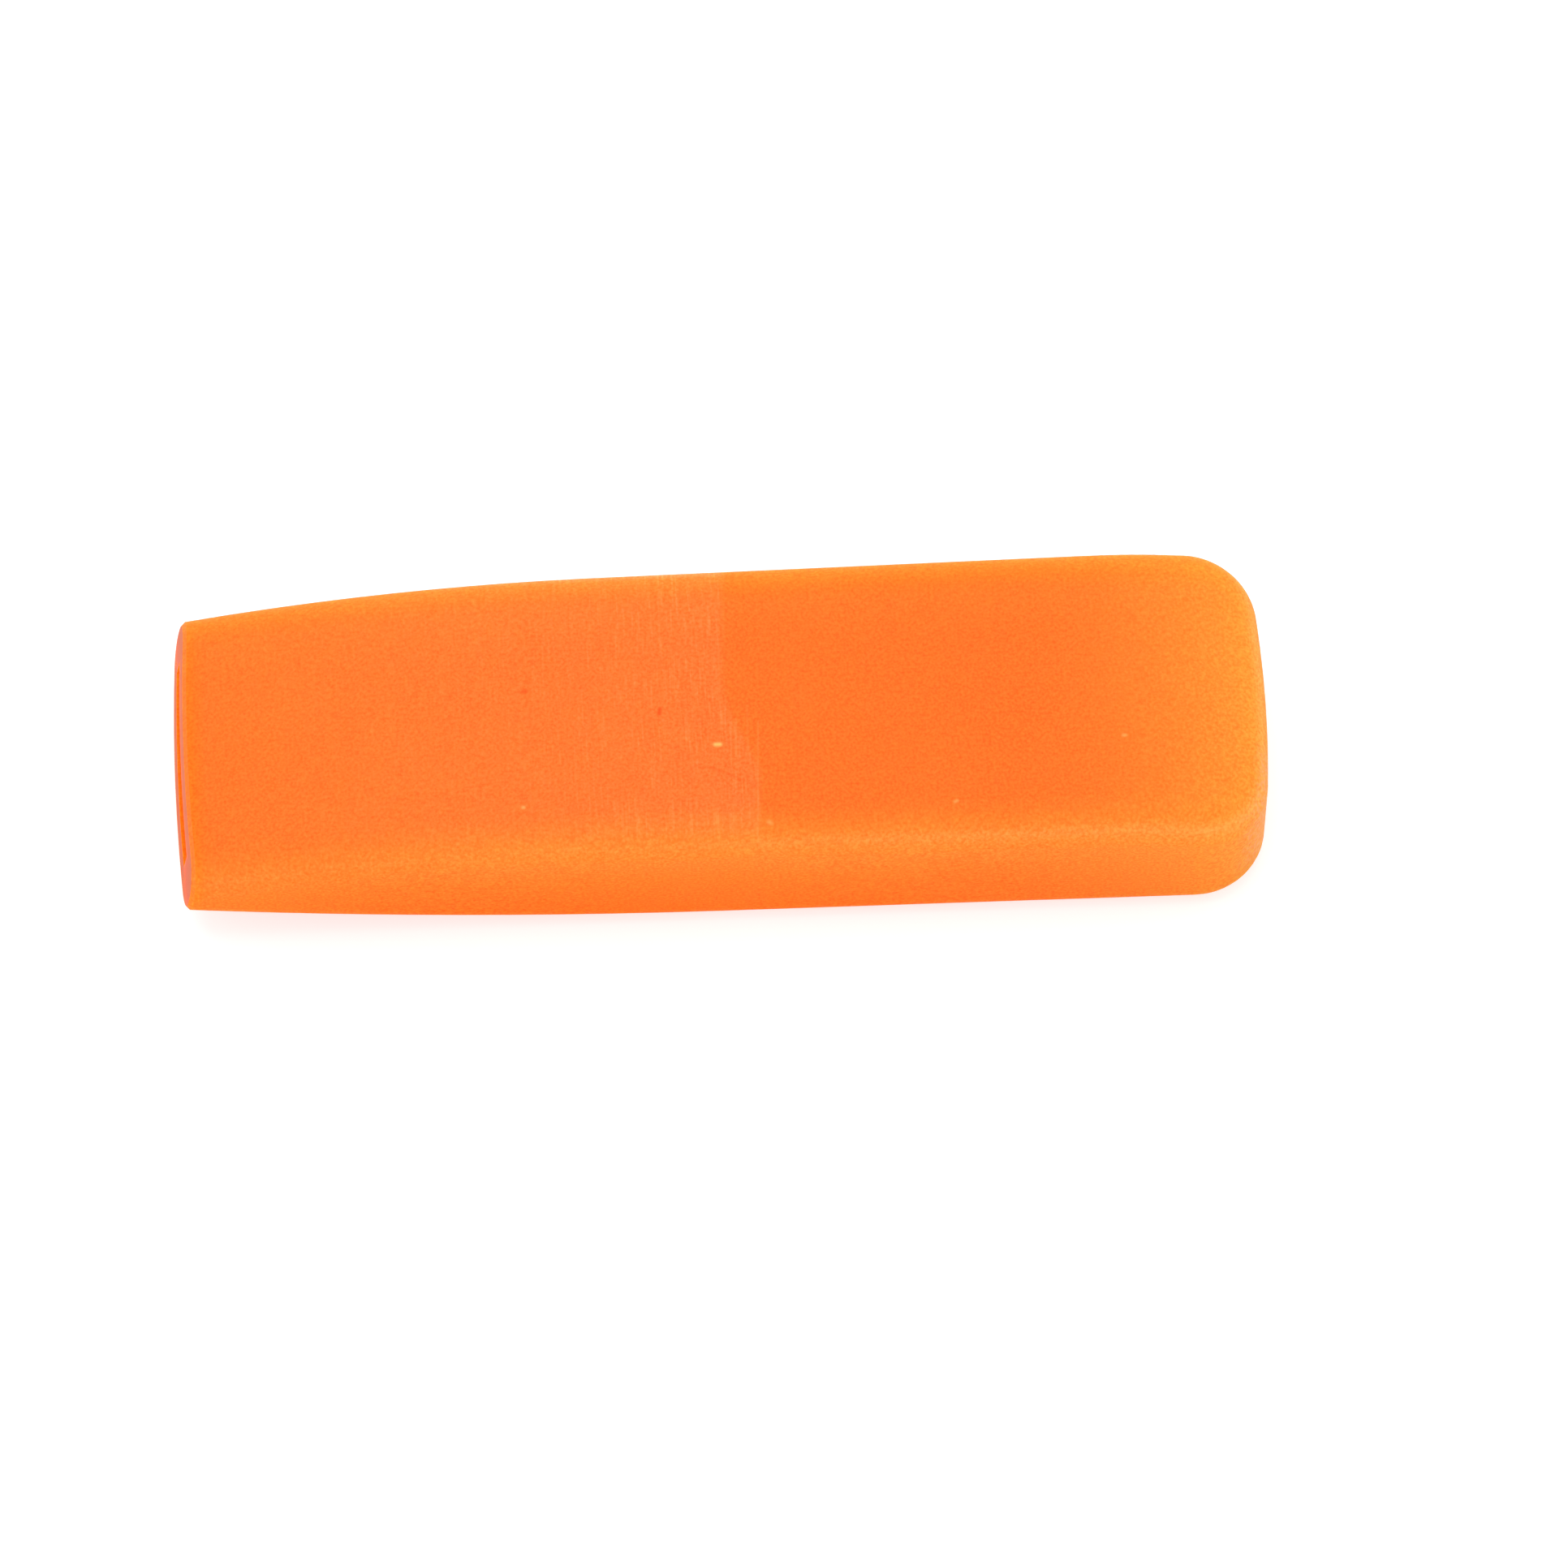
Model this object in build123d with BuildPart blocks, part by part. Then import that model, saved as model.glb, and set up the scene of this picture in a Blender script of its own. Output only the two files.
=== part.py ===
"""A pealess training whistle: a duck-billed moulded shell, a sound plate welded
under it, and the windway block that is trapped between the two.

The whistle lies on its sound plate. +X runs from the mouth to the tail, +Z is
up, and the origin is under the middle of its length and width.
"""

import math
import os

from build123d import *

# Outer form
body_length = 60.0
body_height = 9.7
mouth_width = 16.95
tail_width = 17.75
tail_corner_radius = 4.0
tail_bow = 0.6  # how far the tail's end bulges past its corners
crown_length = 9.5  # the top falls away towards the tail over this length
crown_drop = 1.5
top_edge_radius = 2.1
under_edge_radius = 1.6

# Duck bill: both faces curve in towards the mouth
mouth_height = 4.15
top_bill_length = 23.1
under_bill_length = 30.0
under_bill_rise = 2.45
mouth_rake = 0.6  # how far the lower lip stands out past the upper
mouth_bow = 0.3  # how far the lips bulge between their corners
lip_chamfer = 0.2

# Walls and fits
roof_wall = 1.6
side_wall = 1.8
plate_rim = 1.0  # thickness of the sound plate where it meets the side walls
plate_thickness = 1.4  # with the land that fits between the side walls
plate_ledge = 1.5  # how far the plate reaches past the chamber
weld_gap = 0.04
fit_gap = 0.08

# Voicing
windway_length = 32.3  # mouth to window
windway_mouth_width = 12.0
windway_mouth_height = 1.4
windway_exit_width = 9.0
windway_exit_height = 0.8
exit_chamfer = 0.2
block_length = 24.3
key_radius = 0.7  # upright keys that hold the block along its pocket
key_setback = 12.0  # from the window to the keys
window_length = 4.5
labium_edge = 0.25
labium_ramp_length = 6.0
chamber_length = 13.7
chamber_corner_radius = 1.5

# Lanyard hole: in at the tail's end, out of the underside
lanyard_hole_radius = 1.6
lanyard_hole_height = 3.6
lanyard_hole_setback = 5.6

# Stations along the whistle
mouth_x = -body_length / 2
tail_x = body_length / 2
crown_x = tail_x - crown_length
top_bill_x = mouth_x + mouth_rake + top_bill_length
under_bill_x = mouth_x + under_bill_length
window_x = mouth_x + windway_length
labium_x = window_x + window_length
block_x = window_x - block_length
key_x = window_x - key_setback
chamber_end_x = window_x + chamber_length
plate_end_x = chamber_end_x + plate_ledge
lanyard_x = tail_x - lanyard_hole_setback

top_bill_fall = body_height - mouth_height - under_bill_rise
top_bill_radius = (top_bill_length**2 + top_bill_fall**2) / (2 * top_bill_fall)
under_bill_radius = (under_bill_length**2 + under_bill_rise**2) / (2 * under_bill_rise)
crown_radius = (crown_length**2 + crown_drop**2) / (2 * crown_drop)
lips_radius = (mouth_width**2 / 4 + mouth_bow**2) / (2 * mouth_bow)
widest = max(mouth_width, tail_width)
past = 2.0  # how far a cut runs on beyond the surface that it opens
rough_trim = 0.3  # the bill is rounded a little over its length, then cut to it
ground = Plane.XY.offset(-past)


def half_width(x):
    """Half the whistle's width at x, ahead of the tail's corners."""
    share = (x - mouth_x) / (body_length - tail_bow)
    return (mouth_width + (tail_width - mouth_width) * share) / 2


def turn_past(radius, length):
    """Degrees of arc that run the given length along the whistle, and on past its end."""
    return math.degrees(math.asin((length + past) / radius))


def outer_plan():
    """The outline from above, with its mouth still to be cut."""
    start_x = mouth_x - past
    with BuildSketch(ground) as plan:
        with BuildLine():
            side = Line((start_x, half_width(start_x)), (tail_x - tail_bow, tail_width / 2))
            other_side = mirror(side, about=Plane.XZ)
            ThreePointArc(side @ 1, (tail_x, 0), other_side @ 1)
            Line(side @ 0, other_side @ 0)
        make_face()
        fillet(plan.vertices().group_by(Axis.X)[-1], tail_corner_radius)
    return plan.sketch


def under_side(lift, end_x):
    """From the side, all that lies lower than lift above the underside, as far as end_x."""
    radius = under_bill_radius - lift
    with BuildSketch(Plane.XZ) as side:
        with BuildLine():
            level = Line((end_x, lift), (under_bill_x, lift))
            turn = turn_past(radius, under_bill_length)
            bill = CenterArc((under_bill_x, under_bill_radius), radius, 270, -turn)
            Polyline(bill @ 1, ((bill @ 1).X, -past), (end_x, -past), level @ 0)
        make_face()
    return side.sketch


def roof_side(depth):
    """From the side, all that lies deeper than depth under the top."""
    bill_radius = top_bill_radius - depth
    tail_radius = crown_radius - depth
    with BuildSketch(Plane.XZ) as side:
        with BuildLine():
            Line((crown_x, body_height - depth), (top_bill_x, body_height - depth))
            bill_turn = turn_past(bill_radius, top_bill_length)
            bill = CenterArc((top_bill_x, body_height - top_bill_radius), bill_radius, 90, bill_turn)
            crown_turn = turn_past(tail_radius, crown_length)
            crown = CenterArc((crown_x, body_height - crown_radius), tail_radius, 90, -crown_turn)
            Polyline(bill @ 1, ((bill @ 1).X, -past), ((crown @ 1).X, -past), crown @ 1)
        make_face()
    return side.sketch


def inside_plan(start_x, end_x, gap):
    """The space between the side walls from above, with a gap left to each wall."""
    inset = side_wall + gap
    with BuildSketch(ground) as plan:
        with BuildLine():
            side = Line((start_x, half_width(start_x) - inset), (end_x, half_width(end_x) - inset))
            other_side = mirror(side, about=Plane.XZ)
            Line(side @ 0, other_side @ 0)
            Line(side @ 1, other_side @ 1)
        make_face()
    return plan.sketch


def chamber_plan(start_x, gap):
    """The inside plan as far as the chamber's rounded back wall."""
    with BuildSketch(ground) as plan:
        add(inside_plan(start_x, chamber_end_x - gap, gap))
        fillet(plan.vertices().group_by(Axis.X)[-1], chamber_corner_radius - gap)
    return plan.sketch


def key_plan(gap):
    """The two keys at the block's sides, from above."""
    key_y = half_width(key_x) - side_wall
    with BuildSketch(ground) as plan:
        with Locations((key_x, key_y), (key_x, -key_y)):
            Circle(key_radius - gap)
    return plan.sketch


def extrude_up(plan):
    """Carry a view from above through the whole height, and past both faces."""
    extrude(plan, amount=body_height + 2 * past)


def extrude_across(side, mode=Mode.ADD):
    """Carry a side view across the whole width."""
    extrude(side, amount=widest, both=True, mode=mode)


def cut_mouth(lower_lip_x):
    """Cut the bill off along a bowed and raked face."""
    with BuildSketch(Plane.XY.offset(under_bill_rise)) as front:
        with Locations((lower_lip_x, 0)):
            Rectangle(4 * past, 2 * widest)
        with Locations((lower_lip_x + lips_radius, 0)):
            Circle(lips_radius, mode=Mode.SUBTRACT)
    rake = Vector(mouth_rake, 0, mouth_height)
    extrude(front.sketch, amount=body_height, dir=rake, both=True, mode=Mode.SUBTRACT)


# The outer form, whole: the shell and the plate are both cut from it.
with BuildPart() as outer_form:
    extrude_up(outer_plan())
    extrude_across(roof_side(0), Mode.INTERSECT)
    extrude_across(under_side(0, tail_x + past), Mode.SUBTRACT)
    cut_mouth(mouth_x - rough_trim)
    walls = outer_form.faces().filter_by(lambda face: abs(face.normal_at().Z) < 0.01)
    rims = walls.edges().filter_by_position(Axis.X, mouth_x + mouth_rake, tail_x)
    rims = rims.filter_by(Axis.Z, reverse=True)
    fillet(rims.filter_by(lambda edge: edge.center().Z > body_height / 2), top_edge_radius)
    fillet(rims.filter_by(lambda edge: edge.center().Z < body_height / 2), under_edge_radius)
    cut_mouth(mouth_x)
    chamfer(outer_form.faces().sort_by(Axis.X)[0].edges(), lip_chamfer)

# The air's way from the mouth to the window. It narrows in width and height.
with BuildPart() as windway:
    with BuildSketch(ground) as windway_plan:
        with BuildLine():
            taper = Line((mouth_x, windway_mouth_width / 2), (window_x, windway_exit_width / 2))
            entry = Line((mouth_x - past, windway_mouth_width / 2), taper @ 0)
            mirror((taper, entry), about=Plane.XZ)
            Line(taper @ 1, (window_x, -windway_exit_width / 2))
            Line(entry @ 0, (mouth_x - past, -windway_mouth_width / 2))
        make_face()
    extrude_up(windway_plan.sketch)
    with BuildSketch(Plane.XZ) as windway_side:
        with BuildLine():
            exit_top = (window_x, plate_thickness + windway_exit_height)
            mouth_top = (mouth_x, under_bill_rise + plate_thickness + windway_mouth_height)
            ceiling = TangentArc(exit_top, mouth_top, tangent=(-1, 0))
            flare = Line(mouth_top, mouth_top + ceiling % 1 * past)
            Polyline(flare @ 1, ((flare @ 1).X, -past), (window_x, -past), exit_top)
        make_face()
    extrude_across(windway_side.sketch, Mode.INTERSECT)

# The block's pocket and the resonance chamber behind it, one straight-sided space.
with BuildPart() as cavity:
    extrude_up(chamber_plan(block_x, 0))
    extrude_up(key_plan(0))
    extrude_across(roof_side(roof_wall), Mode.INTERSECT)

# What the shell leaves free for the sound plate.
with BuildPart() as plate_seat:
    extrude_up(chamber_plan(mouth_x - past, 0))
    extrude_across(under_side(plate_thickness + weld_gap, tail_x), Mode.INTERSECT)
    extrude_across(under_side(plate_rim + weld_gap, plate_end_x + weld_gap))

with BuildPart() as lanyard_hole:
    with Locations((lanyard_x, 0, lanyard_hole_height)):
        Sphere(lanyard_hole_radius)
        Cylinder(
            lanyard_hole_radius,
            lanyard_hole_height + past,
            align=(Align.CENTER, Align.CENTER, Align.MAX),
        )
        Cylinder(
            lanyard_hole_radius,
            lanyard_hole_setback + past,
            rotation=(0, 90, 0),
            align=(Align.CENTER, Align.CENTER, Align.MIN),
        )

# The shell: mouthpiece, roof, side walls and tail in one moulding, open below.
with BuildPart() as back_shell:
    add(outer_form.part)
    add(cavity.part, mode=Mode.SUBTRACT)
    add(plate_seat.part, mode=Mode.SUBTRACT)
    add(windway.part, mode=Mode.SUBTRACT)
    add(lanyard_hole.part, mode=Mode.SUBTRACT)

# The sound plate: lower lip, windway floor, window and labium.
with BuildPart() as sound_plate:
    extrude_up(chamber_plan(mouth_x - past, fit_gap))
    extrude_across(under_side(plate_thickness, tail_x), Mode.INTERSECT)
    extrude_across(under_side(plate_rim, plate_end_x))
    add(outer_form.part, mode=Mode.INTERSECT)
    with BuildSketch(Plane.XZ) as voicing:
        Polygon(
            (window_x, -past),
            (window_x, plate_thickness + past),
            (labium_x, plate_thickness + past),
            (labium_x, plate_thickness - labium_edge),
            (labium_x + labium_ramp_length, 0),
            (labium_x + labium_ramp_length, -past),
            align=None,
        )
    extrude(voicing.sketch, amount=windway_exit_width / 2, both=True, mode=Mode.SUBTRACT)

# The windway block: it fills the pocket and leaves the windway free under it.
with BuildPart() as windway_block:
    extrude_up(inside_plan(block_x + fit_gap, window_x, fit_gap))
    extrude_up(key_plan(fit_gap))
    extrude_across(roof_side(roof_wall + fit_gap), Mode.INTERSECT)
    extrude_across(under_side(plate_thickness + fit_gap, window_x + past), Mode.SUBTRACT)
    add(windway.part, mode=Mode.SUBTRACT)
    exit_face = windway_block.faces().sort_by(Axis.X)[-1]
    across = exit_face.edges().filter_by(Axis.Y).filter_by_position(Axis.Y, -fit_gap, fit_gap)
    chamfer(across.sort_by(Axis.Z)[0], exit_chamfer)

pieces = {"back_shell": back_shell, "sound_plate": sound_plate, "windway_block": windway_block}

os.makedirs("parts", exist_ok=True)
for name, piece in pieces.items():
    piece.part.label = name
    export_step(piece.part, f"parts/{name}.step")
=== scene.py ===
"""A pealess training whistle, moulded in translucent fluorescent orange plastic.

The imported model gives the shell, the sound plate and the windway block at their
real size. This file gives them their plastic, and adds the studio around them.
"""

import math
from typing import NamedTuple

import bpy
from mathutils import Matrix, Vector


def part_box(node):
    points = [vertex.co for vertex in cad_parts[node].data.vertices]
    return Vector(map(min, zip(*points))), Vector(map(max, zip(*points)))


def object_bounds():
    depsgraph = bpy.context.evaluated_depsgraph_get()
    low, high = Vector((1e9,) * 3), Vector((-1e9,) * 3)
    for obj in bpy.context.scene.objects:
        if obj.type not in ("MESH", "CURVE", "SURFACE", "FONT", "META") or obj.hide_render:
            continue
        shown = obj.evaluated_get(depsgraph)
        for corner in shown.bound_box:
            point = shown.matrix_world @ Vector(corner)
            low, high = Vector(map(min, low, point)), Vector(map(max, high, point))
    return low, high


bl_info = {
    "name": "Training Whistle",
    "version": (1, 0, 0),
    "blender": (4, 5, 0),
    "location": "View3D > Sidebar > Whistle",
    "description": "Finishes a moulded orange training whistle and lights it for a product picture",
    "category": "Object",
}

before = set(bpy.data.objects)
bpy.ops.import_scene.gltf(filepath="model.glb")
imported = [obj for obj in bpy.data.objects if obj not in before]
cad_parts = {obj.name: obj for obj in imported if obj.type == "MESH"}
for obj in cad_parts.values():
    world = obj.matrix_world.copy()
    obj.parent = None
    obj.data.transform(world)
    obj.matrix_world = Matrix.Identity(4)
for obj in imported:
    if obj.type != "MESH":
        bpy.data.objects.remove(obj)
cad_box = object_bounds()

MM = 0.001


# ---------------------------------------------------------------- measures
# In millimetres. The mouth is at the low end of x, the near side at the low end
# of y, and the roof is the whistle's plain back.

SHELL_LOW, SHELL_HIGH = (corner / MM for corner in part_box("back_shell"))
MOUTH_X, TAIL_X = SHELL_LOW.x, SHELL_HIGH.x
FAR_Y, ROOF_Z = SHELL_HIGH.y, SHELL_HIGH.z
BLOCK_END_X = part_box("windway_block")[1].x / MM

# The floor lies this far below the whistle, so that no two faces share a plane
FLOOR_DROP = 0.02


class Mark(NamedTuple):
    """A straight mark in the roof: its ends as seen from above, half its width and its strength."""

    start: tuple
    end: tuple
    half_width: float
    strength: float


# Pale lines where the brushing ends, over the back of the block
BRUSH_ENDS = (
    Mark((0.1, 6.4), (-0.1, -1.7), 0.18, 0.05),
    Mark((0.8, -1.2), (0.7, -3.4), 0.12, 0.14),
    Mark((1.45, -0.4), (1.35, -3.1), 0.12, 0.08),
    Mark((2.0, -1.4), (1.65, -8.3), 0.1, 0.12),
)
# Short pale nicks
NICKS = (
    Mark((-0.4, -2.7), (-0.15, -2.7), 0.22, 1.0),
    Mark((-11.05, -6.0), (-11.0, -6.0), 0.18, 0.6),
    Mark((2.3, -7.45), (2.4, -7.5), 0.22, 0.4),
    Mark((12.5, -6.75), (12.6, -6.7), 0.18, 0.45),
    Mark((21.9, -3.1), (22.0, -3.1), 0.18, 0.5),
)
# Two specks of deeper dye, and a faint dark scratch
FLECKS = (
    Mark((-10.75, 1.05), (-10.6, 1.05), 0.26, 0.7),
    Mark((-3.35, -0.4), (-3.35, -0.7), 0.2, 0.75),
    Mark((-0.8, -4.05), (1.65, -5.25), 0.18, 0.22),
)


# ---------------------------------------------------------------- settings


def color_setting(name, description, default):
    """A colour in the panel."""
    return bpy.props.FloatVectorProperty(
        name=name, description=description, subtype="COLOR", min=0, max=1, default=default
    )


def share_setting(name, description, default):
    """A slider from 0 to 1 in the panel."""
    return bpy.props.FloatProperty(
        name=name, description=description, subtype="FACTOR", min=0, max=1, default=default
    )


def unit_setting(name, description, unit, default, **limits):
    """A measure in the panel, in its own unit."""
    return bpy.props.FloatProperty(
        name=name, description=description, unit=unit, default=default, **limits
    )


class WhistlePlastic(bpy.types.PropertyGroup):
    """The orange plastic and what shows through it."""

    body_color: color_setting("Body", "The plastic over the hollow of the whistle", (0.99, 0.208, 0.023))
    # Painted glow: the lighter, yellower orange painted where light would gather, at the rims, the tail, the
    # far side and the lips
    glow_color: color_setting(
        "Glow", "The plastic where it gathers light, at its rims and its solid tail", (0.99, 0.39, 0.046)
    )
    veil_color: color_setting(
        "Veil", "The milk that is added where the windway block touches the roof inside", (0.0, 0.022, 0.019)
    )
    brush_color: color_setting(
        "Brush lines", "The light that is added along the lines across the block", (0.0, 0.065, 0.024)
    )
    # Painted highlight along the rounded upper rims
    crest_highlight_color: color_setting("Crest", "The light that is added along the upper rims", (0.0, 0.03, 0.014))
    # Painted shade: the blue taken off the sides, the far rim and the roof's edge at the mouth
    side_shade_color: color_setting("Depth", "The blue that the sides and the lips lack", (0.0, 0.003, 0.01))
    # Painted shade on the mouth's end face: a darker, browner orange
    mouth_shade_color: color_setting("Lips", "The sawn and rubbed end face of the mouth", (0.54, 0.165, 0.07))
    # A pale patch on the tail's near corner
    pale_patch_color: color_setting("Frost", "The plastic where the tail's corner is worn", (1.0, 0.55, 0.32))
    nick_color: color_setting("Nicks", "The plastic where it is scratched pale", (1.0, 0.6, 0.16))
    fleck_color: color_setting("Flecks", "Specks of deeper dye inside the plastic", (0.95, 0.09, 0.008))
    # How strong the painted glow is at the rims, the tail, the far side and the lips
    painted_rim_glow: share_setting("Rim glow", "How much light gathers in the rounded rims", 0.72)
    painted_tail_glow: share_setting("Tail glow", "How much light gathers in the solid tail", 0.96)
    painted_far_glow: share_setting("Far glow", "How much light comes in through the far side", 0.2)
    painted_mouth_glow: share_setting("Mouth glow", "How much light gathers in the thin lips", 0.15)
    grain: share_setting("Grain", "How uneven the colour is at close range", 0.9)
    # Painted glow: red light that the plastic gives off without any lamp, standing in for the dye's
    # fluorescence
    painted_dye_glow: share_setting("Dye glow", "How much red light the fluorescent dye gives back by itself", 0.25)
    satin: share_setting("Satin", "Roughness of the moulded skin", 0.55)
    scatter_depth: unit_setting("Scatter depth", "How far red light travels in the plastic", "LENGTH", 3 * MM)


class WhistleStudio(bpy.types.PropertyGroup):
    """The floor, the lamps and the camera."""

    floor_color: color_setting("Floor", "Colour of the paper that the whistle lies on", (0.7, 0.7, 0.7))
    room_light: unit_setting(
        "Room light", "Strength of the white room around the table", "NONE", 0.7, min=0
    )
    key_power: unit_setting(
        "Key lamp", "Power of the large soft lamp above the table", "POWER", 1.2, min=0
    )
    front_power: unit_setting(
        "Front lamp", "Power of the soft lamp in front of the table", "POWER", 0.42, min=0
    )
    camera_turn: unit_setting(
        "Camera turn",
        "How far the camera stands round towards the mouth from the whistle's side",
        "ROTATION",
        math.radians(4.19),
    )
    camera_rise: unit_setting(
        "Camera rise", "How high the camera looks down on the whistle from", "ROTATION", math.radians(63.46)
    )
    camera_roll: unit_setting(
        "Camera roll", "How far the camera is tipped about its own axis", "ROTATION", math.radians(-1.47)
    )
    camera_distance: unit_setting("Camera distance", "From the camera to the whistle", "LENGTH", 0.85)
    camera_lens: unit_setting("Focal length", "Focal length of the camera's lens", "CAMERA", 354.9)
    aim_right: unit_setting(
        "Aim right", "How far right of the whistle's middle the camera aims", "LENGTH", 3.551 * MM
    )
    aim_down: unit_setting(
        "Aim down", "How far below the whistle's middle the camera aims", "LENGTH", 2.036 * MM
    )
    aim_height: unit_setting(
        "Aim height", "Height of the point that the camera is turned about", "LENGTH", 4 * MM
    )


# ---------------------------------------------------------------- shader maths


class Signal:
    """An output socket, so that shader maths can be written as Python expressions."""

    def __init__(self, tree, socket):
        self.tree = tree
        self.socket = socket

    def is_plain(self):
        return self.socket.type == "VALUE"

    def combine(self, operation, *values):
        """One Math or Vector Math node, whichever its values ask for."""
        plain = all(v.is_plain() for v in values if isinstance(v, Signal))
        plain = plain and not any(isinstance(v, (tuple, Vector)) for v in values)
        if plain:
            return node(self.tree, "ShaderNodeMath", {"operation": operation}, dict(enumerate(values)))
        spread = [(v, v, v) if isinstance(v, (int, float)) else v for v in values]
        return node(self.tree, "ShaderNodeVectorMath", {"operation": operation}, dict(enumerate(spread)))

    def __add__(self, other):
        return self.combine("ADD", self, other)

    def __radd__(self, other):
        return self.combine("ADD", other, self)

    def __sub__(self, other):
        return self.combine("SUBTRACT", self, other)

    def __rsub__(self, other):
        return self.combine("SUBTRACT", other, self)

    def __mul__(self, other):
        return self.combine("MULTIPLY", self, other)

    def __rmul__(self, other):
        return self.combine("MULTIPLY", other, self)

    def __truediv__(self, other):
        return self.combine("DIVIDE", self, other)

    def __rtruediv__(self, other):
        return self.combine("DIVIDE", other, self)

    def __pow__(self, other):
        return self.combine("POWER", self, other)

    def at_most(self, other):
        return self.combine("MINIMUM", self, other)

    def at_least(self, other):
        return self.combine("MAXIMUM", self, other)

    def rise(self, start, end):
        """0 before start, 1 after end, and a smooth step between them."""
        return node(
            self.tree,
            "ShaderNodeMapRange",
            {"interpolation_type": "SMOOTHSTEP"},
            {"Value": self, "From Min": start, "From Max": end},
        )

    def fall(self, start, end):
        """1 before start, 0 after end, and a smooth step between them."""
        return 1 - self.rise(start, end)

    def dot(self, other):
        """The dot product of two vectors."""
        settings = {"operation": "DOT_PRODUCT"}
        return node(self.tree, "ShaderNodeVectorMath", settings, {0: self, 1: other}, output="Value")

    def length(self):
        """How long a vector is."""
        return node(self.tree, "ShaderNodeVectorMath", {"operation": "LENGTH"}, {0: self}, output="Value")

    def split(self):
        """The three plain signals of a vector."""
        parts = node(self.tree, "ShaderNodeSeparateXYZ", {}, {"Vector": self}, output=None)
        return [Signal(self.tree, socket) for socket in parts.outputs]


def node(tree, kind, settings, inputs, output=0):
    """Add a node, set it up, then fill its sockets with values or signals.

    It gives back the output of that name or number as a signal, or the node itself.
    """
    made = tree.nodes.new(kind)
    for name, value in settings.items():
        setattr(made, name, value)
    for key, value in inputs.items():
        if isinstance(value, Signal):
            tree.links.new(value.socket, made.inputs[key])
        else:
            made.inputs[key].default_value = value
    return made if output is None else Signal(tree, made.outputs[output])


def as_color(value):
    """A colour with its alpha, where one is given as three numbers."""
    return value if isinstance(value, Signal) else (*value, 1)


def blend(factor, first, second):
    """Mix two colours."""
    return node(
        factor.tree,
        "ShaderNodeMix",
        {"data_type": "RGBA"},
        {0: factor, 6: as_color(first), 7: as_color(second)},
        output=2,
    )


def noise(place, scale=1.0, detail=1.0):
    """Soft noise, about 0.5 on average, with the scale in features per unit of place."""
    return node(
        place.tree,
        "ShaderNodeTexNoise",
        {"noise_dimensions": "3D"},
        {"Vector": place, "Scale": scale, "Detail": detail},
    )


def new_material(name):
    """A material with no nodes yet."""
    material = bpy.data.materials.new(name)
    material.use_nodes = True
    material.node_tree.nodes.clear()
    return material


# ---------------------------------------------------------------- plastic


class Skin:
    """The surface of a piece: each point's place in millimetres, and the way it faces.

    up is 1 on the roof, 0 on a wall and -1 underneath, tailward is 1 on the tail's
    end and -1 on the mouth's, and tilt is 0 on a level face and 1 on an upright one.
    """

    def __init__(self, tree):
        self.place = node(tree, "ShaderNodeTexCoord", {}, {}, output="Object") / MM
        self.x, self.y, self.z = self.place.split()
        facing = node(tree, "ShaderNodeTexCoord", {}, {}, output="Normal")
        self.tailward, _, self.up = facing.split()
        self.tilt = (facing * (1, 1, 0)).length()


def orange_plastic(name, settings, is_shell):
    """Translucent fluorescent orange with a satin moulded skin."""
    material = new_material(name)
    tree = material.node_tree
    skin = Skin(tree)
    shader = node(
        tree,
        "ShaderNodeBsdfPrincipled",
        {},
        {
            "Base Color": dyed(skin, settings, is_shell),
            "Roughness": settings.satin,
            "IOR": 1.5,
            "Specular IOR Level": 0.06,
            "Subsurface Weight": 1.0,
            "Subsurface Radius": (1.0, 0.45, 0.15),
            "Subsurface Scale": settings.scatter_depth,
            # Painted glow: a red emission that shines without any lamp, standing in for the dye's
            # fluorescence
            "Emission Color": (1.0, 0.03, 0.0, 1),
            "Emission Strength": settings.painted_dye_glow,
            "Normal": moulded(skin),
        },
    )
    node(tree, "ShaderNodeOutputMaterial", {}, {"Surface": shader}, output=None)
    return material


def dyed(skin, settings, is_shell):
    """The plastic's colour: painted light and shade, what lies behind it, a pale patch at the tail's corner,
    and its nicks, flecks and grain.
    """
    # Painted glow at the rims, the tail, the far side and the lips
    color = blend(painted_glow_mask(skin, settings), settings.body_color, settings.glow_color)
    # Painted highlight along the upper rims
    color = color + painted_crest_highlight(skin) * tuple(settings.crest_highlight_color)
    # Painted shade on the sides, the far rim and at the mouth
    color = color - painted_side_shade(skin) * tuple(settings.side_shade_color)
    if is_shell:
        behind_roof = under_roof(skin)
        color = color + behind_roof * tuple(settings.veil_color)
        color = color + behind_roof * brushed(skin) * tuple(settings.brush_color)
    color = color * (1 + settings.grain * uneven(skin))
    # Painted shade on the mouth's end face
    color = blend(end_face(skin), color, settings.mouth_shade_color)
    if is_shell:
        # A pale, dotted patch on the tail's near corner
        color = blend(pale_tail_corner(skin), color, settings.pale_patch_color)
        color = blend(strongest(BRUSH_ENDS + NICKS, skin), color, settings.nick_color)
        color = blend(strongest(FLECKS, skin), color, settings.fleck_color)
    return color


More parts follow.
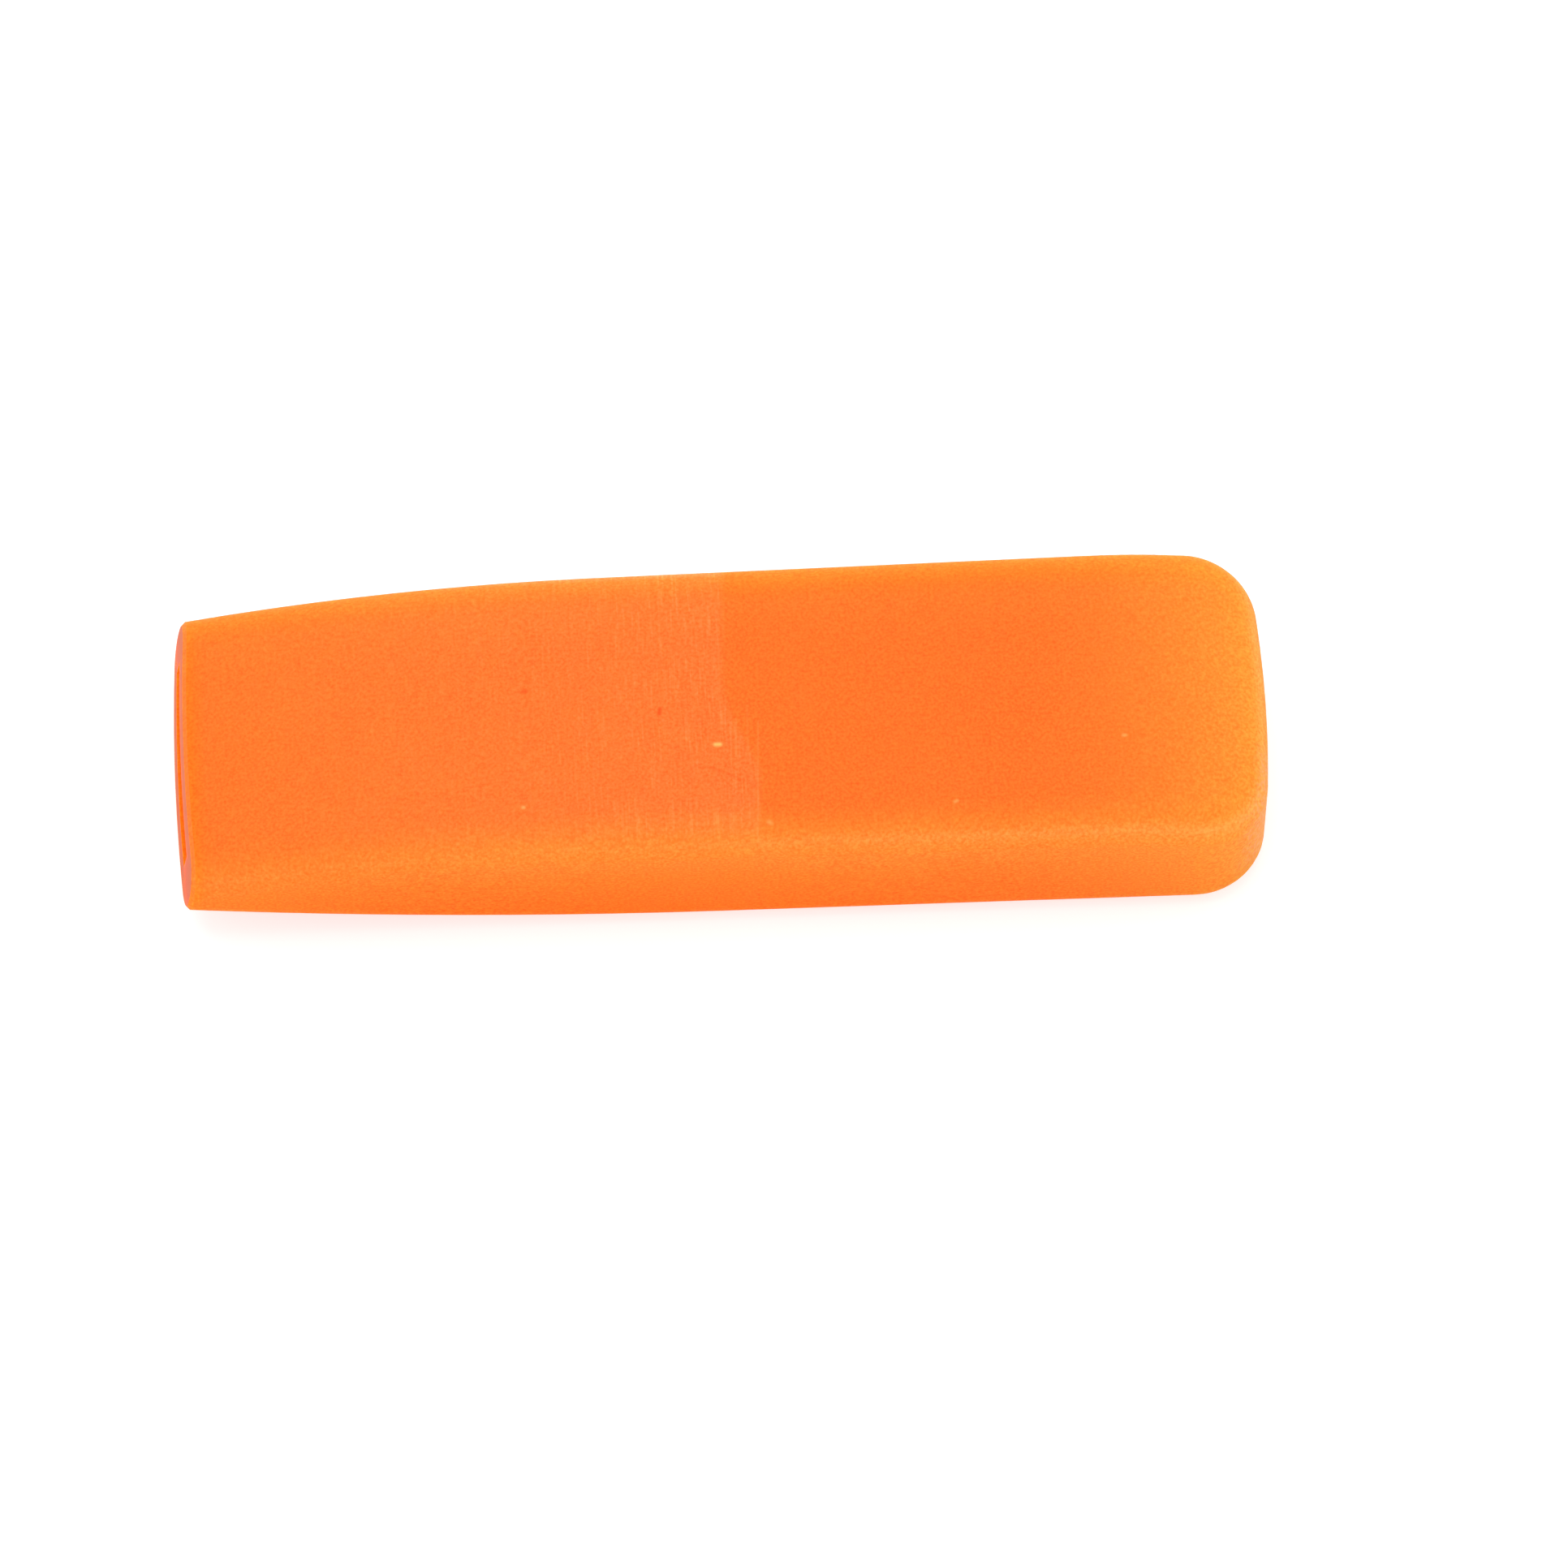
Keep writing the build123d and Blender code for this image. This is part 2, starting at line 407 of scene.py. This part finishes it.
def painted_glow_mask(skin, settings):
    """Painted light: a lighter, yellower orange where light would gather in the plastic, at the rims, through
    the solid tail, along the far side and at the lips.
    """
    rim_curve, height_curve, tail_curve = 1.3, 1.9, 2.4
    tail_reach, lip_reach = 16, 16
    height = (skin.z / ROOF_Z).at_least(0)
    rims = skin.tilt**rim_curve * height**height_curve * settings.painted_rim_glow
    into_tail = (1 - (TAIL_X - skin.x) / tail_reach).at_least(0)
    tail = into_tail**tail_curve * settings.painted_tail_glow
    far_side = skin.y.rise(2.5, FAR_Y) * settings.painted_far_glow
    near_mouth = skin.x.fall(MOUTH_X, MOUTH_X + lip_reach)
    lips = near_mouth * skin.tilt.rise(0.2, 1) * settings.painted_mouth_glow
    return 1 - (1 - rims) * (1 - tail) * (1 - far_side) * (1 - lips)


def painted_crest_highlight(skin):
    """A painted highlight along the rounded upper rims, growing towards the tail."""
    band = skin.up.rise(0.05, 0.5) * skin.up.fall(0.55, 0.88)
    line = skin.up.rise(0.35, 0.55) * skin.up.fall(0.55, 0.75)
    tail_half = skin.x.rise(-15, 27)
    tail_end = skin.x.rise(24, 29)
    far_rim = skin.y.rise(5, 8)
    growth = 0.5 + 0.9 * tail_half + 0.7 * tail_end
    return (0.8 * band + 0.5 * line) * growth * (1 - 0.6 * far_rim)


def painted_side_shade(skin):
    """Painted shade: less blue on the side walls, the far rim and the last of the roof at the mouth."""
    walls = skin.up.fall(-0.05, 0.15)
    tail_half = skin.x.rise(0, 27)
    top_of_wall = skin.z.rise(5, 7.6)
    near = walls * (1 - 0.6 * tail_half) * (1 - 0.5 * top_of_wall)
    far = 0.8 * skin.y.rise(5.5, 7.5)
    mouth = 1.3 * skin.x.fall(MOUTH_X + 0.5, MOUTH_X + 1.7)
    return near.at_least(far).at_least(mouth)


def under_roof(skin):
    """Where the block lies against the roof: from its front end to a curved back edge.

    The edge retreats from the block's own end by a step and a slant, and it wavers.
    """
    least, step, slant, waver = 0.2, 2.0, 0.045, 0.35
    edge_blur, block_reach, waves_per_mm = 0.35, 30, 0.3
    wave = noise(skin.place * (0, waves_per_mm, 0)) - 0.5
    far_part = skin.y.rise(-5, 1)
    retreat = least + step * far_part - slant * skin.y + waver * wave
    ahead_of_end = (skin.x - (BLOCK_END_X - retreat)).fall(-edge_blur, edge_blur)
    contact = ((skin.x - MOUTH_X) / block_reach).at_least(0).at_most(1)
    roof = skin.up.rise(0.6, 0.9)
    far_rim = 3.4 * skin.y.rise(7.4, 8.3) * skin.x.rise(-20, -8) * skin.up.rise(0.15, 0.5)
    above_bill = skin.z.rise(5, 7)
    return contact * ahead_of_end * roof.at_least(far_rim) * above_bill


def brushed(skin):
    """Broken lines across the roof, stronger towards the back of the block."""
    lines_per_mm = (6, 0.35, 0)
    patches_per_mm = (0.5, 0.4, 0)
    lines = noise(skin.place * lines_per_mm).rise(0.45, 0.75) - 0.15
    patches = noise(skin.place * patches_per_mm).rise(0.3, 0.55)
    block_back = skin.x.rise(-16, 0)
    return lines * patches * (0.45 + 0.55 * block_back)


def uneven(skin):
    """Slow clouds and fine grain, about 0 on average. The grain grows away from the roof."""
    clouds_per_mm, grains_per_mm = 0.15, 6.0
    clouds = noise(skin.place, clouds_per_mm) - 0.5
    grain = (noise(skin.place, grains_per_mm) - 0.5) * (1.3 - 0.3 * skin.up)
    red_green_blue = (1, 1, 1.7)
    return (grain + 0.1 * clouds) * red_green_blue


def end_face(skin):
    """The flat face round the mouth of the windway, and part of its chamfer, which take a painted shade."""
    return skin.tailward.fall(-0.98, -0.6) * skin.x.fall(MOUTH_X + 0.8, MOUTH_X + 1.4)


def pale_tail_corner(skin):
    """A pale, dotted patch on the tail's near corner."""
    corner_dots_per_mm, corner_dot_detail = 4.0, 3.0
    near_part = skin.y.fall(-4.5, -2.5)
    mid_height = skin.z.rise(1, 3) * skin.z.fall(7.5, 9)
    corner_dots = noise(skin.place, corner_dots_per_mm, corner_dot_detail).rise(0.45, 0.65)
    return 0.5 * skin.tailward.rise(0.45, 1) * near_part * mid_height * (0.15 + 0.85 * corner_dots)


def stroke(roof, mark):
    """A straight mark: its strength along the middle, and 0 half its width away."""
    start = Vector((*mark.start, 0))
    along = Vector((*mark.end, 0)) - start
    offset = roof - start
    share = offset.dot(along / along.length_squared).at_least(0).at_most(1)
    return (offset - share * along).length().fall(0, mark.half_width) * mark.strength


def strongest(marks, skin):
    """The strongest of some marks in the roof, at each place."""
    roof = skin.place * (1, 1, 0)
    strength = 0
    for mark in marks:
        strength = stroke(roof, mark).at_least(strength)
    return strength * skin.up.rise(0.1, 0.4)


def moulded(skin):
    """The fine satin texture of the mould, as a bump."""
    pits_per_mm, pit_detail = 7.0, 2.0
    pits = noise(skin.place, pits_per_mm, pit_detail)
    inputs = {"Strength": 0.12, "Distance": 0.02 * MM, "Height": pits}
    return node(skin.place.tree, "ShaderNodeBump", {}, inputs)


def dress(node_name, material):
    """Give a carried-over CAD node its material."""
    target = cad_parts[node_name]
    target.data.materials.clear()
    target.data.materials.append(material)


# ---------------------------------------------------------------- studio


def in_view(tree):
    """1 for rays that the camera, a gloss or clear plastic shows, and 0 for the light itself."""
    path = node(tree, "ShaderNodeLightPath", {}, {}, output=None)
    camera, gloss, clear = (
        Signal(tree, path.outputs[name])
        for name in ("Is Camera Ray", "Is Glossy Ray", "Is Transmission Ray")
    )
    return camera.at_least(gloss).at_least(clear)


def floor_paper(settings):
    """Pale paper that takes a soft shadow, and shows as white around it."""
    black, own_light = (0, 0, 0), (0.6, 0.6, 0.6)
    material = new_material("floor_paper")
    tree = material.node_tree
    paper = node(
        tree,
        "ShaderNodeBsdfPrincipled",
        {},
        {
            "Base Color": as_color(settings.floor_color),
            "Roughness": 0.9,
            "Specular IOR Level": 0.1,
            "Emission Color": blend(in_view(tree), black, own_light),
            "Emission Strength": 1.0,
        },
    )
    node(tree, "ShaderNodeOutputMaterial", {}, {"Surface": paper}, output=None)
    return material


def lay_floor(settings):
    """A wide sheet of pale paper just under the whistle."""
    reach = 1.5
    height = cad_box[0][2] - FLOOR_DROP * MM
    corners = [(-reach, -reach), (reach, -reach), (reach, reach), (-reach, reach)]
    mesh = bpy.data.meshes.new("floor")
    mesh.from_pydata([(x, y, height) for x, y in corners], [], [(0, 1, 2, 3)])
    mesh.materials.append(floor_paper(settings))
    floor = bpy.data.objects.new("floor", mesh)
    bpy.context.scene.collection.objects.link(floor)


def light_room(settings):
    """An even white room."""
    white = (1, 1, 1, 1)
    world = bpy.data.worlds.new("white_room")
    bpy.context.scene.world = world
    world.use_nodes = True
    tree = world.node_tree
    tree.nodes.clear()
    light = node(tree, "ShaderNodeBackground", {}, {"Color": white, "Strength": settings.room_light})
    backdrop = node(tree, "ShaderNodeBackground", {}, {"Color": white, "Strength": 1.0})
    mixed = node(tree, "ShaderNodeMixShader", {}, {0: in_view(tree), 1: light, 2: backdrop})
    node(tree, "ShaderNodeOutputWorld", {}, {"Surface": mixed}, output=None)


def hang_lamp(name, power, size, place):
    """A round soft lamp that faces the whistle."""
    lamp = bpy.data.lights.new(name, "AREA")
    lamp.shape = "DISK"
    lamp.size = size
    lamp.energy = power
    holder = bpy.data.objects.new(name, lamp)
    holder.location = place
    holder.rotation_euler = (-holder.location).to_track_quat("-Z", "Y").to_euler()
    bpy.context.scene.collection.objects.link(holder)


def place_camera(settings):
    """Look down on the whistle's plain back, with the mouth on the left."""
    turn, rise = settings.camera_turn, settings.camera_rise
    towards = Vector((-math.sin(turn) * math.cos(rise), -math.cos(turn) * math.cos(rise), math.sin(rise)))
    right = Vector((math.cos(turn), -math.sin(turn), 0))
    up = towards.cross(right)
    tip = Matrix.Rotation(-settings.camera_roll, 3, towards)
    right, up = tip @ right, tip @ up
    middle = Vector((0, 0, settings.aim_height))
    aim = middle + right * settings.aim_right - up * settings.aim_down
    data = bpy.data.cameras.new("camera")
    data.sensor_width = 36
    data.lens = settings.camera_lens
    data.clip_start = 0.01
    camera = bpy.data.objects.new("camera", data)
    axes = Matrix((right, up, towards)).transposed()
    camera.matrix_world = Matrix.Translation(aim + towards * settings.camera_distance) @ axes.to_4x4()
    bpy.context.scene.collection.objects.link(camera)
    bpy.context.scene.camera = camera


# ---------------------------------------------------------------- operators


class WHISTLE_OT_back_shell(bpy.types.Operator):
    """Finish the shell: the moulded body with the block's veil in its roof"""

    bl_idname = "whistle.back_shell"
    bl_label = "Back shell"

    def execute(self, context):
        plastic = orange_plastic("shell_plastic", context.scene.whistle_plastic, is_shell=True)
        dress("back_shell", plastic)
        return {"FINISHED"}


class WHISTLE_OT_sound_plate(bpy.types.Operator):
    """Finish the sound plate under the shell"""

    bl_idname = "whistle.sound_plate"
    bl_label = "Sound plate"

    def execute(self, context):
        plastic = orange_plastic("plate_plastic", context.scene.whistle_plastic, is_shell=False)
        dress("sound_plate", plastic)
        return {"FINISHED"}


class WHISTLE_OT_windway_block(bpy.types.Operator):
    """Finish the windway block between the shell and the plate"""

    bl_idname = "whistle.windway_block"
    bl_label = "Windway block"

    def execute(self, context):
        plastic = orange_plastic("block_plastic", context.scene.whistle_plastic, is_shell=False)
        dress("windway_block", plastic)
        return {"FINISHED"}


class WHISTLE_OT_studio(bpy.types.Operator):
    """Lay the pale floor, light it softly and place the camera"""

    bl_idname = "whistle.studio"
    bl_label = "Studio"

    def execute(self, context):
        settings = context.scene.whistle_studio
        context.scene.view_settings.view_transform = "Standard"
        lay_floor(settings)
        light_room(settings)
        hang_lamp("key_lamp", settings.key_power, size=0.5, place=(-0.1, 0.12, 0.62))
        hang_lamp("front_lamp", settings.front_power, size=0.35, place=(0.05, -0.55, 0.2))
        place_camera(settings)
        return {"FINISHED"}


# ---------------------------------------------------------------- panel and registration


STEPS = (
    WHISTLE_OT_back_shell,
    WHISTLE_OT_sound_plate,
    WHISTLE_OT_windway_block,
    WHISTLE_OT_studio,
)


class WHISTLE_PT_panel(bpy.types.Panel):
    """The whistle's settings and steps"""

    bl_label = "Training Whistle"
    bl_idname = "WHISTLE_PT_panel"
    bl_space_type = "VIEW_3D"
    bl_region_type = "UI"
    bl_category = "Whistle"

    def draw(self, context):
        for settings in (context.scene.whistle_plastic, context.scene.whistle_studio):
            box = self.layout.box()
            for name in settings.__annotations__:
                box.prop(settings, name)
        for step in STEPS:
            self.layout.operator(step.bl_idname)


CLASSES = (WhistlePlastic, WhistleStudio, *STEPS, WHISTLE_PT_panel)


def register():
    for cls in CLASSES:
        bpy.utils.register_class(cls)
    bpy.types.Scene.whistle_plastic = bpy.props.PointerProperty(type=WhistlePlastic)
    bpy.types.Scene.whistle_studio = bpy.props.PointerProperty(type=WhistleStudio)


def unregister():
    del bpy.types.Scene.whistle_studio
    del bpy.types.Scene.whistle_plastic
    for cls in reversed(CLASSES):
        bpy.utils.unregister_class(cls)


def main():
    register()
    bpy.ops.whistle.back_shell()
    bpy.ops.whistle.sound_plate()
    bpy.ops.whistle.windway_block()
    bpy.ops.whistle.studio()


if __name__ == "__main__":
    main()
